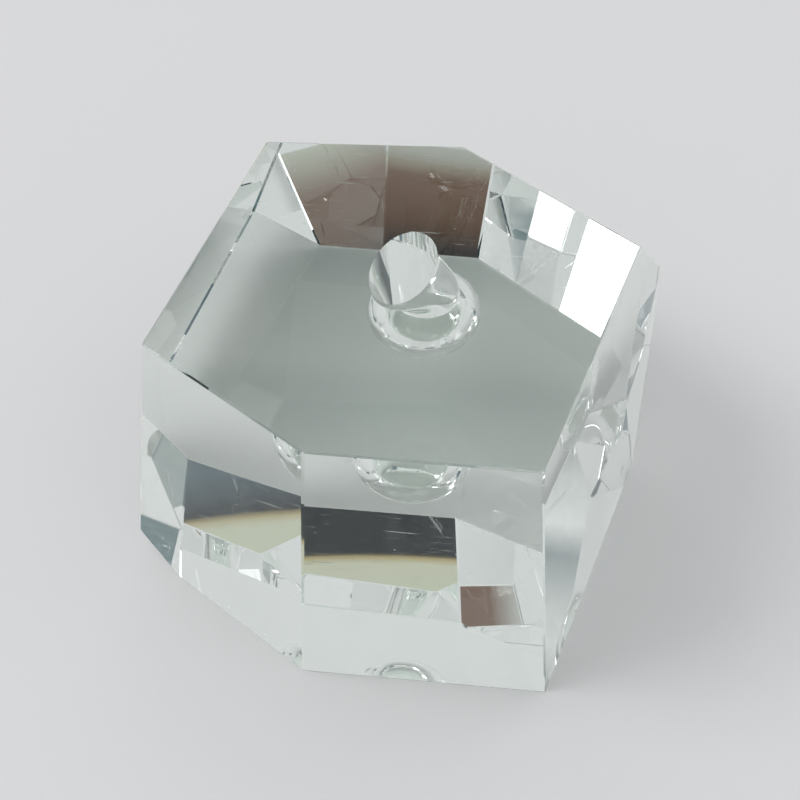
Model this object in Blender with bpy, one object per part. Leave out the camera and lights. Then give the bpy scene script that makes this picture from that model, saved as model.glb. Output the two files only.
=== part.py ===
"""Faceted clear acrylic block with a bulb-shaped cavity, open through an oval mouth in its top flat.

Metres, +Z up. The origin is on the table, under the middle of the block, and the front
facet faces -Y. The whole object is one solid piece, so it is one object here.
"""

from math import cos, pi, radians, sin, sqrt

import bmesh
import bpy
from mathutils import Vector

MM = 0.001

# The block: the height between its two parallel flats, and the rough cuboid it is cut from.
HEIGHT = 50.0 * MM
ROUGH_SIDE = 140 * MM
ARRIS = 0.22 * MM
SHARP = radians(20)

# Each facet: the compass direction it faces in degrees, its lean (positive faces up, negative
# faces down) and the distance of its plane from the origin in millimetres.
FACETS = {
    "front": (-90.0, -0.8, 36.2),
    "front_left": (-124.4, 0.5, 35.7),
    "right": (-16.2, 4.6, 33.5),
    "back_upper": (94.2, 39.0, 48.5),
    "back_lower": (89.8, -16.6, 26.2),
    "back_right_upper": (53.5, 41.8, 49.7),
    "back_right_lower": (53.3, -15.3, 26.7),
    "left_upper": (167.3, 8.9, 33.1),
    "left_foot": (162.9, -55.9, 12.9),
}

# The cavity: a round bulb deep in the block, and a leaning oval neck up to the top flat.
BULB_CENTRE = Vector((3.1, 0.0, 28.6)) * MM
BULB_RADIUS = 8.0 * MM
MOUTH_X = 0.4 * MM
MOUTH_Y = -3.8 * MM
MOUTH_LONG = 7.3 * MM
MOUTH_SHORT = 4.2 * MM
MOUTH_TURN = radians(77.4)
THROAT_RADIUS = 4.9 * MM
SEGMENTS = 56
NECK_RINGS = 9
BULB_RINGS = 18
CUTTER_RISE = 2 * MM

CLEAR_TINT = (0.90, 0.94, 0.92, 1.0)
POLISHED_ROUGHNESS = 0.02
ACRYLIC_IOR = 1.49


def clear_scene():
    for old in list(bpy.data.objects):
        bpy.data.objects.remove(old, do_unlink=True)


def new_object(name, shape):
    mesh = bpy.data.meshes.new(name)
    shape.to_mesh(mesh)
    shape.free()
    obj = bpy.data.objects.new(name, mesh)
    bpy.context.collection.objects.link(obj)
    return obj


def facet_normal(compass, lean):
    c = radians(compass)
    e = radians(lean)
    return Vector((cos(e) * cos(c), cos(e) * sin(c), sin(e)))


def cut_block():
    """Saws each facet off a rough cuboid, and closes each cut with one flat face."""
    block = bmesh.new()
    bmesh.ops.create_cube(block, size=1)
    bmesh.ops.scale(block, verts=block.verts, vec=(ROUGH_SIDE, ROUGH_SIDE, HEIGHT))
    bmesh.ops.translate(block, verts=block.verts, vec=(0, 0, HEIGHT / 2))
    for compass, lean, distance in FACETS.values():
        normal = facet_normal(compass, lean)
        everything = block.verts[:] + block.edges[:] + block.faces[:]
        cut = bmesh.ops.bisect_plane(
            block, geom=everything, plane_co=normal * distance * MM, plane_no=normal, clear_outer=True
        )
        rim = [item for item in cut["geom_cut"] if isinstance(item, bmesh.types.BMEdge)]
        bmesh.ops.contextual_create(block, geom=rim)
    bmesh.ops.recalc_face_normals(block, faces=block.faces)
    return block


def smoothstep(t):
    return t * t * (3 - 2 * t)


def oval_ring(centre, long_radius, short_radius):
    """A level oval about centre, its long axis turned to MOUTH_TURN."""
    long_axis = Vector((cos(MOUTH_TURN), sin(MOUTH_TURN), 0))
    short_axis = Vector((-sin(MOUTH_TURN), cos(MOUTH_TURN), 0))
    ring = []
    for step in range(SEGMENTS):
        angle = 2 * pi * step / SEGMENTS
        ring.append(centre + long_axis * long_radius * cos(angle) + short_axis * short_radius * sin(angle))
    return ring


def cavity_rings():
    """The cavity's level sections, from just above the mouth down to the foot of the bulb."""
    mouth = Vector((MOUTH_X, MOUTH_Y, HEIGHT))
    throat_z = BULB_CENTRE.z + sqrt(BULB_RADIUS**2 - THROAT_RADIUS**2)
    rings = [oval_ring(mouth + Vector((0, 0, CUTTER_RISE)), MOUTH_LONG, MOUTH_SHORT)]
    for step in range(NECK_RINGS):
        depth = step / NECK_RINGS
        ease = smoothstep(depth)
        centre = mouth.lerp(BULB_CENTRE, ease)
        centre.z = HEIGHT + (throat_z - HEIGHT) * depth
        long_radius = MOUTH_LONG + (THROAT_RADIUS - MOUTH_LONG) * ease
        short_radius = MOUTH_SHORT + (THROAT_RADIUS - MOUTH_SHORT) * ease
        rings.append(oval_ring(centre, long_radius, short_radius))
    throat_angle = Vector((0, 1)).angle(Vector((THROAT_RADIUS, throat_z - BULB_CENTRE.z)))
    for step in range(BULB_RINGS):
        angle = throat_angle + (pi - throat_angle) * step / BULB_RINGS
        centre = BULB_CENTRE + Vector((0, 0, BULB_RADIUS * cos(angle)))
        rings.append(oval_ring(centre, BULB_RADIUS * sin(angle), BULB_RADIUS * sin(angle)))
    return rings


def cavity_cutter():
    """The cavity as one closed solid that stands a little proud of the top flat."""
    cutter = bmesh.new()
    loops = [[cutter.verts.new(point) for point in ring] for ring in cavity_rings()]
    foot = cutter.verts.new(BULB_CENTRE - Vector((0, 0, BULB_RADIUS)))
    cutter.faces.new(loops[0])
    for step in range(SEGMENTS):
        after = (step + 1) % SEGMENTS
        for upper, lower in zip(loops, loops[1:]):
            cutter.faces.new((upper[step], upper[after], lower[after], lower[step]))
        cutter.faces.new((loops[-1][step], loops[-1][after], foot))
    bmesh.ops.recalc_face_normals(cutter, faces=cutter.faces)
    return cutter


def clear_acrylic():
    material = bpy.data.materials.new("clear_acrylic")
    material.use_nodes = True
    shader = material.node_tree.nodes["Principled BSDF"]
    shader.inputs["Base Color"].default_value = CLEAR_TINT
    shader.inputs["Metallic"].default_value = 0.0
    shader.inputs["Roughness"].default_value = POLISHED_ROUGHNESS
    shader.inputs["IOR"].default_value = ACRYLIC_IOR
    shader.inputs["Transmission Weight"].default_value = 1.0
    return material


def main():
    clear_scene()
    block = new_object("vase_block", cut_block())
    block.data.materials.append(clear_acrylic())

    arris = block.modifiers.new("arris", "BEVEL")
    arris.width = ARRIS
    arris.segments = 1
    arris.limit_method = "ANGLE"
    arris.angle_limit = SHARP

    cutter = new_object("cavity_cutter", cavity_cutter())
    cutter.hide_render = True
    cutter.display_type = "WIRE"

    cavity = block.modifiers.new("cavity", "BOOLEAN")
    cavity.operation = "DIFFERENCE"
    cavity.solver = "EXACT"
    cavity.object = cutter


main()
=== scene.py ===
"""Looks of the faceted clear vase block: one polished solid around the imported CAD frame.

Metres, +Z up, the front facet faces -Y. The shown block is the frame's own solid, with flat
facets and a smoothly shaded cavity wall, and it stands on a plain pale floor. Besides the
floor and the sky it bends and mirrors tone cards, which stand far around it and which the
camera doesn't see directly.
"""

from math import cos, radians, sin, tan

import bmesh
import bpy
from mathutils import Matrix, Vector

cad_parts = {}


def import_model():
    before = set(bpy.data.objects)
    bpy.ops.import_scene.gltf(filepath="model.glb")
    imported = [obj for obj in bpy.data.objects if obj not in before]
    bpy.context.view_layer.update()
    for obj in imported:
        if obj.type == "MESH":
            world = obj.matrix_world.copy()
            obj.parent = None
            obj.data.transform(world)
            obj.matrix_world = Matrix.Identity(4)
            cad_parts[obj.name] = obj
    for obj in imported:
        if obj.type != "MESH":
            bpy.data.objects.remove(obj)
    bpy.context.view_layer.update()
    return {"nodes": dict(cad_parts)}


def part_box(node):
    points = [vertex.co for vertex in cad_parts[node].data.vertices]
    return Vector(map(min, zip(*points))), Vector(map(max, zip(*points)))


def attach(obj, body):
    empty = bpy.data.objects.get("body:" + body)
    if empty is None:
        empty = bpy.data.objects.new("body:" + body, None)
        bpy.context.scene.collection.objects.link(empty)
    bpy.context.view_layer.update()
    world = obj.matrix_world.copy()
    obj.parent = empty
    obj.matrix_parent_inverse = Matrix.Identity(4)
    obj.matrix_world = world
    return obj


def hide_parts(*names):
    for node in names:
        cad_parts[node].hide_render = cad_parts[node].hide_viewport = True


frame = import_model()

MM = 0.001
NODE = "vase_block"
LOW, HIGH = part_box(NODE)
HEIGHT = HIGH.z - LOW.z

# The camera: a lens in mm on a sensor in mm, a place in block heights, and two directions.
LENS = 67.5
SENSOR = 36.0
NEAREST = 1 * MM
CAMERA_PLACE = Vector((0.242, -2.984, 3.734)) * HEIGHT
CAMERA_LOOK = Vector((-0.054, 0.6644, -0.7454))
CAMERA_UP = Vector((-0.0798, 0.7412, 0.6665))

# The block's mesh: points closer than WELD become one, and an edge that turns less than SHARP
# is shaded smooth. That takes in the neck and the bulb, and leaves sharp the facets' edges, the
# arrises, the rim of the mouth and the crease where the neck meets the bulb.
WELD = 0.002 * MM
SHARP = radians(12)

# The acrylic. HAZE_SCALE is in features per metre, and a range gives the values of a pattern
# between which its effect rises from nothing to the roughness stated.
ACRYLIC_IOR = 1.49
ACRYLIC_TINT = (0.90, 0.955, 0.915, 1.0)
HAZE_SCALE = 90.0
HAZE_DETAIL = 3.0
HAZE_RANGE = (0.55, 0.80)
HAZE_ROUGHNESS = 0.004
DUST_PITCH = 3.2 * MM
DUST_RANGE = (0.035, 0.02)
DUST_ROUGHNESS = 0.5
RELIEF_STRENGTH = 0.06
RELIEF_DEPTH = 0.02 * MM

# Each group of scratches has a turn of its pattern in degrees, a length and a roughness.
HAIRLINE = 0.12 * MM
SCRATCH_RANGE = (0.83, 0.86)
SCRATCHES = (
    ((0, 0, 25), 6 * MM, 0.22),
    ((20, 0, 80), 4 * MM, 0.18),
    ((60, 10, -35), 8 * MM, 0.18),
)

# The floor, which reaches this far each way, just under the block.
FLOOR_REACH = 2.0
FLOOR_GAP = 0.02 * MM
FLOOR_TONE = (0.75, 0.75, 0.755)
FLOOR_ROUGHNESS = 0.6

# The light: an even sky, and one square window, with directions in degrees and power in watts.
SKY = (0.825, 0.83, 0.84, 1.0)
SKY_STRENGTH = 0.85
WINDOW_AZIMUTH = -168
WINDOW_ELEVATION = 51
WINDOW_AWAY = 3.0
WINDOW_SIDE = 1.4
WINDOW_POWER = 27.0

# How often a ray may be bent or mirrored before it is given up.
INNER_REFLECTIONS = 28

# The cards' distance and their tones, roughly from dark to light.
CARD_AWAY = 5.0
BLUE_BLACK = (0.004, 0.010, 0.013)
SHADE = (0.022, 0.016, 0.014)
DEEP_BROWN = (0.105, 0.058, 0.036)
BROWN = (0.160, 0.100, 0.073)
PALE_BROWN = (0.170, 0.108, 0.083)
SLATE = (0.080, 0.120, 0.145)
BLUE_GREY = (0.120, 0.180, 0.200)
GREY = (0.30, 0.34, 0.34)
AMBER = (0.40, 0.32, 0.16)
WARM_GREY = (0.46, 0.47, 0.41)
CREAM = (0.52, 0.53, 0.42)
PALE = (0.58, 0.61, 0.60)
BRIGHT = (0.90, 0.92, 0.92)
WHITE = (1.60, 1.60, 1.60)


def link(obj):
    bpy.context.scene.collection.objects.link(obj)
    return obj


# --------------------------------------------------------------------------- the block


def block_mesh():
    """The CAD solid with its seams welded, its facets flat and its cavity wall smooth."""
    shape = bmesh.new()
    shape.from_mesh(frame["nodes"][NODE].data)
    bmesh.ops.remove_doubles(shape, verts=shape.verts, dist=WELD)
    bmesh.ops.recalc_face_normals(shape, faces=shape.faces)
    for face in shape.faces:
        face.smooth = True
    for edge in shape.edges:
        edge.smooth = edge.is_manifold and edge.calc_face_angle(0.0) < SHARP
    mesh = bpy.data.meshes.new("clear_block")
    shape.to_mesh(mesh)
    shape.free()
    return mesh


def node(tree, kind, **settings):
    made = tree.nodes.new(kind)
    for name, value in settings.items():
        setattr(made, name, value)
    return made


def ranged(tree, value, span, top):
    """value carried to 0 at the span's first number and top at its second, held at both ends."""
    made = node(tree, "ShaderNodeMapRange")
    made.inputs["From Min"].default_value = span[0]
    made.inputs["From Max"].default_value = span[1]
    made.inputs["To Min"].default_value = 0.0
    made.inputs["To Max"].default_value = top
    tree.links.new(value, made.inputs["Value"])
    return made.outputs["Result"]


def added(tree, first, second):
    made = node(tree, "ShaderNodeMath", operation="ADD")
    tree.links.new(first, made.inputs[0])
    tree.links.new(second, made.inputs[1])
    return made.outputs["Value"]


def hairlines(tree, place, turn, reach, roughness):
    """Scratches that are a hairline wide in Y and about reach long in X and Z.

    The turn follows the stretch, so it only picks another part of the pattern."""
    mapping = node(tree, "ShaderNodeMapping")
    mapping.inputs["Rotation"].default_value = [radians(angle) for angle in turn]
    mapping.inputs["Scale"].default_value = (1 / reach, 1 / HAIRLINE, 1 / reach)
    grain = node(tree, "ShaderNodeTexNoise")
    grain.inputs["Scale"].default_value = 1.0
    grain.inputs["Detail"].default_value = 0.0
    tree.links.new(place, mapping.inputs["Vector"])
    tree.links.new(mapping.outputs["Vector"], grain.inputs["Vector"])
    return ranged(tree, grain.outputs["Fac"], SCRATCH_RANGE, roughness)


def dust(tree, place):
    """Tiny dull specks, where the surface passes close to the pattern's scattered points."""
    cells = node(tree, "ShaderNodeTexVoronoi")
    cells.inputs["Scale"].default_value = 1 / DUST_PITCH
    tree.links.new(place, cells.inputs["Vector"])
    return ranged(tree, cells.outputs["Distance"], DUST_RANGE, DUST_ROUGHNESS)


def clear_acrylic():
    """Polished clear acrylic: faint haze, hairline scratches and a little dust on the surface."""
    material = bpy.data.materials.new("clear_acrylic_polished")
    material.use_nodes = True
    tree = material.node_tree
    shader = tree.nodes["Principled BSDF"]
    shader.inputs["Base Color"].default_value = ACRYLIC_TINT
    shader.inputs["Transmission Weight"].default_value = 1.0
    shader.inputs["IOR"].default_value = ACRYLIC_IOR
    place = node(tree, "ShaderNodeTexCoord").outputs["Object"]

    haze = node(tree, "ShaderNodeTexNoise")
    haze.inputs["Scale"].default_value = HAZE_SCALE
    haze.inputs["Detail"].default_value = HAZE_DETAIL
    tree.links.new(place, haze.inputs["Vector"])
    wear = dust(tree, place)
    for turn, reach, roughness in SCRATCHES:
        wear = added(tree, wear, hairlines(tree, place, turn, reach, roughness))
    polish = ranged(tree, haze.outputs["Fac"], HAZE_RANGE, HAZE_ROUGHNESS)
    tree.links.new(added(tree, wear, polish), shader.inputs["Roughness"])
    relief = node(tree, "ShaderNodeBump")
    relief.inputs["Strength"].default_value = RELIEF_STRENGTH
    relief.inputs["Distance"].default_value = RELIEF_DEPTH
    tree.links.new(wear, relief.inputs["Height"])
    tree.links.new(relief.outputs["Normal"], shader.inputs["Normal"])
    return material


def show_block():
    block = link(bpy.data.objects.new("clear_block", block_mesh()))
    block.data.materials.clear()
    block.data.materials.append(clear_acrylic())
    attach(block, "root")
    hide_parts(NODE)


# --------------------------------------------------------------------------- the studio


def floor_material():
    material = bpy.data.materials.new("pale_floor")
    material.use_nodes = True
    shader = material.node_tree.nodes["Principled BSDF"]
    shader.inputs["Base Color"].default_value = (*FLOOR_TONE, 1.0)
    shader.inputs["Roughness"].default_value = FLOOR_ROUGHNESS
    return material


def floor():
    shape = bmesh.new()
    bmesh.ops.create_grid(shape, x_segments=1, y_segments=1, size=FLOOR_REACH)
    mesh = bpy.data.meshes.new("floor")
    shape.to_mesh(mesh)
    shape.free()
    made = link(bpy.data.objects.new("floor", mesh))
    made.location.z = LOW.z - FLOOR_GAP
    made.data.materials.append(floor_material())


def look_from(place, look, up):
    """The pose of a camera or a light that stands at place and looks along look."""
    back = -look.normalized()
    right = up.cross(back).normalized()
    top = back.cross(right)
    turn = Matrix((right, top, back)).transposed().to_4x4()
    return Matrix.Translation(place) @ turn


def camera():
    data = bpy.data.cameras.new("camera")
    data.lens = LENS
    data.sensor_width = SENSOR
    data.clip_start = NEAREST
    made = link(bpy.data.objects.new("camera", data))
    made.matrix_world = look_from(CAMERA_PLACE, CAMERA_LOOK, CAMERA_UP)
    bpy.context.scene.camera = made


def outward(azimuth, elevation):
    """The direction at an azimuth, from +X towards +Y, and an elevation, both in degrees."""
    around = radians(azimuth)
    above = radians(elevation)
    return Vector((cos(above) * cos(around), cos(above) * sin(around), sin(above)))


def window():
    data = bpy.data.lights.new("window", "AREA")
    data.shape = "SQUARE"
    data.size = WINDOW_SIDE
    data.energy = WINDOW_POWER
    way = outward(WINDOW_AZIMUTH, WINDOW_ELEVATION)
    made = link(bpy.data.objects.new("window", data))
    made.matrix_world = look_from(way * WINDOW_AWAY, -way, Vector((0, 0, 1)))


def card_material(name, levels):
    """A glow whose tone changes upwards: each level is a height, 0 to 1 of the card's, and a tone."""
    material = bpy.data.materials.new(name)
    material.use_nodes = True
    tree = material.node_tree
    tree.nodes.clear()
    place = node(tree, "ShaderNodeTexCoord")
    split = node(tree, "ShaderNodeSeparateXYZ")
    ramp = node(tree, "ShaderNodeValToRGB")
    glow = node(tree, "ShaderNodeEmission")
    out = node(tree, "ShaderNodeOutputMaterial")
    tree.links.new(place.outputs["Generated"], split.inputs["Vector"])
    tree.links.new(split.outputs["Z"], ramp.inputs["Fac"])
    tree.links.new(ramp.outputs["Color"], glow.inputs["Color"])
    tree.links.new(glow.outputs["Emission"], out.inputs["Surface"])
    stops = ramp.color_ramp.elements
    for stop, (height, tone) in ((stops[0], levels[0]), (stops[-1], levels[-1])):
        stop.position = height
        stop.color = (*tone, 1.0)
    for height, tone in levels[1:-1]:
        stops.new(height).color = (*tone, 1.0)
    return material


# Each card is a glowing sheet, not a lamp: painted reflections of the room, seen in and through the
# acrylic.
def card(name, facing, start, end, bands):
    """An upright card that shows only in reflections and through the acrylic.

    It stands square to the azimuth facing and runs from start to end, counted from there.
    Each band is an elevation, as seen straight ahead from the top of the block, and a tone.
    All angles are in degrees."""
    low = HEIGHT + CARD_AWAY * tan(radians(bands[0][0]))
    high = HEIGHT + CARD_AWAY * tan(radians(bands[-1][0]))
    ahead = outward(facing, 0) * CARD_AWAY
    aside = Vector((-ahead.y, ahead.x, 0))
    corners = []
    for turn, level in ((start, low), (end, low), (end, high), (start, high)):
        corners.append(ahead + aside * tan(radians(turn)) + Vector((0, 0, level)))
    mesh = bpy.data.meshes.new(name)
    mesh.from_pydata(corners, [], [(0, 1, 2, 3)])
    levels = []
    for elevation, tone in bands:
        level = HEIGHT + CARD_AWAY * tan(radians(elevation))
        levels.append(((level - low) / (high - low), tone))
    mesh.materials.append(card_material(name, levels))
    made = link(bpy.data.objects.new(name, mesh))
    made.visible_camera = False
    made.visible_diffuse = False
    made.visible_shadow = False


def cards():
    """Painted reflections of the room on glowing cards: a dark figure in front, dim walls beside it,
    and a glow and a ceiling behind.
    """
    card(
        "front_figure", -90, -25, 12,
        [(39.5, WARM_GREY), (40.6, BROWN), (42.1, DEEP_BROWN), (43.2, SHADE), (46.0, BLUE_BLACK),
         (52.25, BLUE_BLACK), (52.35, AMBER), (52.55, CREAM), (60.0, PALE)],
    )
    card(
        "front_shoulder", -90, 12, 40,
        [(41.0, WARM_GREY), (43.0, PALE_BROWN), (45.6, DEEP_BROWN), (48.0, SHADE), (50.5, SLATE),
         (52.1, BLUE_BLACK), (52.2, AMBER), (52.5, CREAM), (60.0, PALE),
         (62.0, GREY), (67.0, GREY)],
    )
    card(
        "front_shade", -90, -32, 40,
        [(9.0, PALE), (14.0, SLATE), (26.0, BLUE_BLACK), (33.0, GREY), (38.0, WARM_GREY)],
    )
    card(
        "side_shade", -6, -28, 6,
        [(27.0, PALE), (29.4, PALE), (29.8, BLUE_GREY), (31.5, SLATE), (34.0, BLUE_GREY),
         (37.0, PALE)],
    )
    card("rear_glow", 38, -14, 14, [(16.0, WHITE), (34.0, WHITE)])
    card("rear_gap", 36, -8, 8, [(35.0, BLUE_GREY), (36.5, BLUE_GREY), (38.0, PALE)])
    card(
        "rear_ceiling", 93, -24, 24,
        [(35.0, PALE), (37.0, SLATE), (43.5, SLATE), (45.0, PALE), (46.8, BRIGHT),
         (48.0, BLUE_GREY), (51.0, BRIGHT), (53.0, GREY), (62.0, GREY)],
    )
    card(
        "right_wall", -36, -26, 16,
        [(4.0, PALE), (12.0, GREY), (22.0, BLUE_GREY), (30.0, SLATE), (38.0, PALE)],
    )
    card(
        "left_wall", 198, -20, 24,
        [(3.0, PALE), (9.0, GREY), (20.0, SLATE), (30.0, BLUE_GREY), (36.0, PALE)],
    )
    card("low_brown", -119, -10, 12, [(2.0, BROWN), (6.5, PALE_BROWN), (8.0, PALE)])


def world():
    made = bpy.data.worlds.new("room")
    made.use_nodes = True
    back = made.node_tree.nodes["Background"]
    back.inputs["Color"].default_value = SKY
    back.inputs["Strength"].default_value = SKY_STRENGTH
    bpy.context.scene.world = made


show_block()
floor()
camera()
world()
cards()
window()

bpy.context.scene.view_settings.view_transform = "Standard"
for limit in ("max_bounces", "glossy_bounces", "transmission_bounces"):
    setattr(bpy.context.scene.cycles, limit, INNER_REFLECTIONS)
